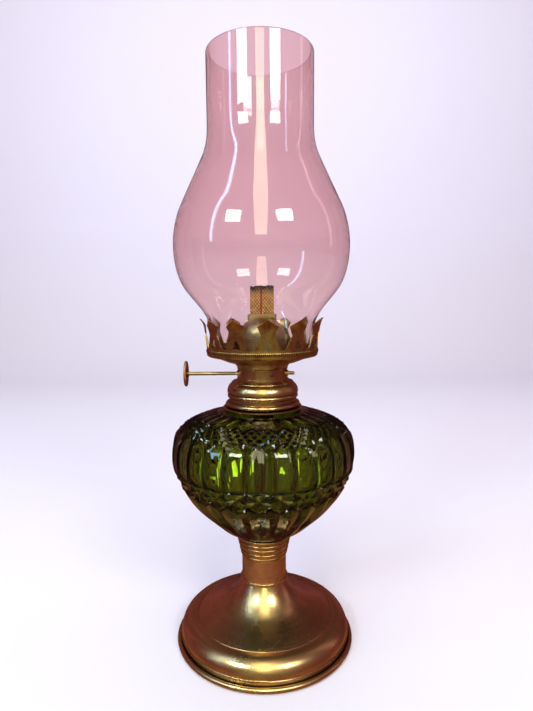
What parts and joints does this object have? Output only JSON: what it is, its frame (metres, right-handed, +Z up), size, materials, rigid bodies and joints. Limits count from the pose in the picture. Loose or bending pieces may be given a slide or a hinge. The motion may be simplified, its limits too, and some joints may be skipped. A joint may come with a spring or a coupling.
{
  "type": "oil lamp",
  "caption": "Standing oil lamp: brass foot and stem, pressed green glass font, flat-wick burner with a winding knob, pronged gallery and clear bulged chimney.",
  "frame": {"origin": "centre of the underside, on the lamp's axis, at the height of the surface it stands on", "axes": "+Z up the lamp's axis, -Y the front with the wick's broad face, -X the side of the winding knob"},
  "size_m": [0.1212, 0.1212, 0.3822],
  "materials": {
    "foot_brass": "aged polished spun brass",
    "burner_brass": "aged pressed brass",
    "shaft_brass": "turned brass, worn",
    "dome_brass": "heat-dulled brass",
    "green_glass": "deep olive green pressed glass",
    "chimney_glass": "clear blown glass with a faint rose tint",
    "wick_cotton": "flat woven cotton, charred at the top",
    "green_baize": "wool baize",
    "plaster": "cast plaster cement",
    "cork": "cork sheet",
    "plated_steel": "zinc plated",
    "ballast_iron": "as cast"
  },
  "bodies": {
    "lamp": {"foot_shell": "foot_brass", "baize_pad": "green_baize", "ballast_plate": "ballast_iron", "tie_rod": "plated_steel", "tie_nuts": "plated_steel", "tie_washers": "plated_steel", "stem_tube": "foot_brass", "stem_ferrule": "foot_brass", "stem_ring": "foot_brass", "font_cup": "foot_brass", "cup_cement": "plaster", "font": "green_glass", "font_collar": "burner_brass", "collar_cement": "plaster"},
    "gasket": {"collar_gasket": "cork"},
    "burner": {"burner_skirt": "burner_brass", "burner_neck": "burner_brass", "burner_floor": "burner_brass", "wick_tube": "burner_brass", "vent_tube": "burner_brass", "ratchet_box": "burner_brass", "shaft_bushes": "burner_brass"},
    "winder": {"wick_shaft": "shaft_brass", "spur_wheels": "shaft_brass", "wick_knob": "shaft_brass"},
    "wick": {"wick": "wick_cotton"},
    "gallery": {"gallery": "burner_brass", "air_plate": "burner_brass", "flame_dome": "dome_brass"},
    "chimney": {"chimney": "chimney_glass"}
  },
  "joints": [
    {"name": "burner_turn", "type": "hinge", "parent": "lamp", "child": "gasket", "pos_m": [0, 0, 0.1706], "axis": [0, 0, 1], "range_deg": [0, 1080]},
    {"name": "burner_rise", "type": "slide", "parent": "gasket", "child": "burner", "axis": [0, 0, 1], "range_m": [0, 0.0064]},
    {"name": "knob_turn", "type": "hinge", "parent": "burner", "child": "winder", "pos_m": [0, -0.0051, 0.1831], "axis": [1, 0, 0], "range_deg": [-200, 110]},
    {"name": "wick_travel", "type": "slide", "parent": "burner", "child": "wick", "axis": [0, 0, 1], "range_m": [-0.0142, 0.008]},
    {"name": "gallery_lift", "type": "slide", "parent": "burner", "child": "gallery", "axis": [0, 0, 1], "range_m": [0, 0.055]},
    {"name": "chimney_lift", "type": "slide", "parent": "gallery", "child": "chimney", "axis": [0, 0, 1], "range_m": [0, 0.06]}
  ],
  "couplings": [
    {"joint": "burner_rise", "follows": "burner_turn", "m_per_rad": 0.00033423},
    {"joint": "wick_travel", "follows": "knob_turn", "m_per_rad": 0.004}
  ]
}
